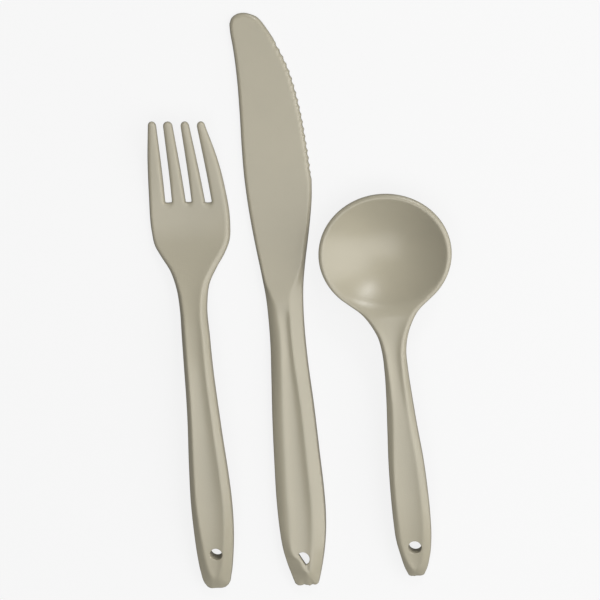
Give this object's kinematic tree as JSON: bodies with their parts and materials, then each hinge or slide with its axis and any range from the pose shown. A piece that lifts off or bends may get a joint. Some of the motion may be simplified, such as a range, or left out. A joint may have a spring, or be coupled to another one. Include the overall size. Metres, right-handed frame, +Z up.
{
  "type": "plastic cutlery pack",
  "caption": "Fork, serrated table knife and round-bowl spoon, moulded in plain beige plastic with ridged handles and hanging holes.",
  "frame": {"origin": "centre of the set's outline, on the surface that the pieces lie on", "axes": "+Y from the handle ends towards the tips, +X from the fork towards the spoon, +Z up from the surface"},
  "size_m": [0.1056, 0.204, 0.0131],
  "materials": {
    "beige_plastic": "satin, with a fine moulded grain"
  },
  "bodies": {
    "root": {"fork": "beige_plastic", "knife": "beige_plastic", "spoon": "beige_plastic"}
  },
  "joints": []
}
